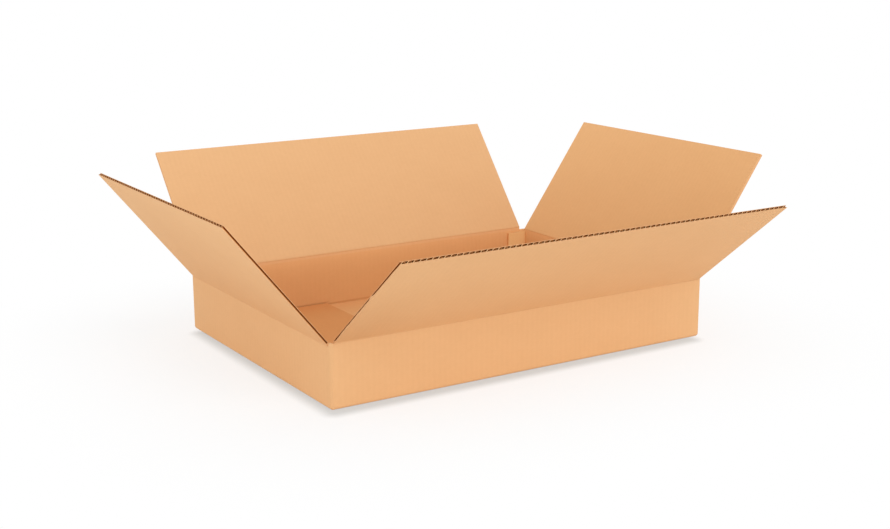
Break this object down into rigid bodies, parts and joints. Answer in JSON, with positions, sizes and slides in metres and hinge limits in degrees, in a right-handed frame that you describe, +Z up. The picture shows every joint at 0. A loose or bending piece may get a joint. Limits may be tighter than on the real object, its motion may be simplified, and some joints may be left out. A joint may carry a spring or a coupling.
{
  "type": "shallow corrugated shipping box with open flaps",
  "caption": "Shallow slotted carton of plain kraft corrugated board, standing open, with hinged top flaps leaning outward and a closed folded base.",
  "frame": {"origin": "middle of the underside of the base, on the surface that the box stands on", "axes": "+X along the long walls, +Y from the front wall to the back wall, +Z up out of the open top"},
  "size_m": [0.806, 0.6983, 0.2399],
  "materials": {
    "kraft_board": "matte brown kraft liner on corrugated board",
    "kraft_flap": "matte brown kraft liners over a fluted sheet, with open flute ends"
  },
  "bodies": {
    "tray": {"tray": "kraft_board"},
    "front_flap": {"front_flap": "kraft_flap"},
    "back_flap": {"back_flap": "kraft_flap"},
    "left_flap": {"left_flap": "kraft_flap"},
    "right_flap": {"right_flap": "kraft_flap"}
  },
  "joints": [
    {"name": "front_flap_fold", "type": "hinge", "parent": "tray", "child": "front_flap", "pos_m": [0, -0.2048, 0.081], "axis": [1, 0, 0], "range_deg": [-141, 59]},
    {"name": "back_flap_fold", "type": "hinge", "parent": "tray", "child": "back_flap", "pos_m": [0, 0.2048, 0.081], "axis": [-1, 0, 0], "range_deg": [-131.5, 68.5]},
    {"name": "left_flap_fold", "type": "hinge", "parent": "tray", "child": "left_flap", "pos_m": [-0.2813, 0, 0.077], "axis": [0, -1, 0], "range_deg": [-129, 71]},
    {"name": "right_flap_fold", "type": "hinge", "parent": "tray", "child": "right_flap", "pos_m": [0.2813, 0, 0.077], "axis": [0, 1, 0], "range_deg": [-125.5, 74.5]}
  ]
}
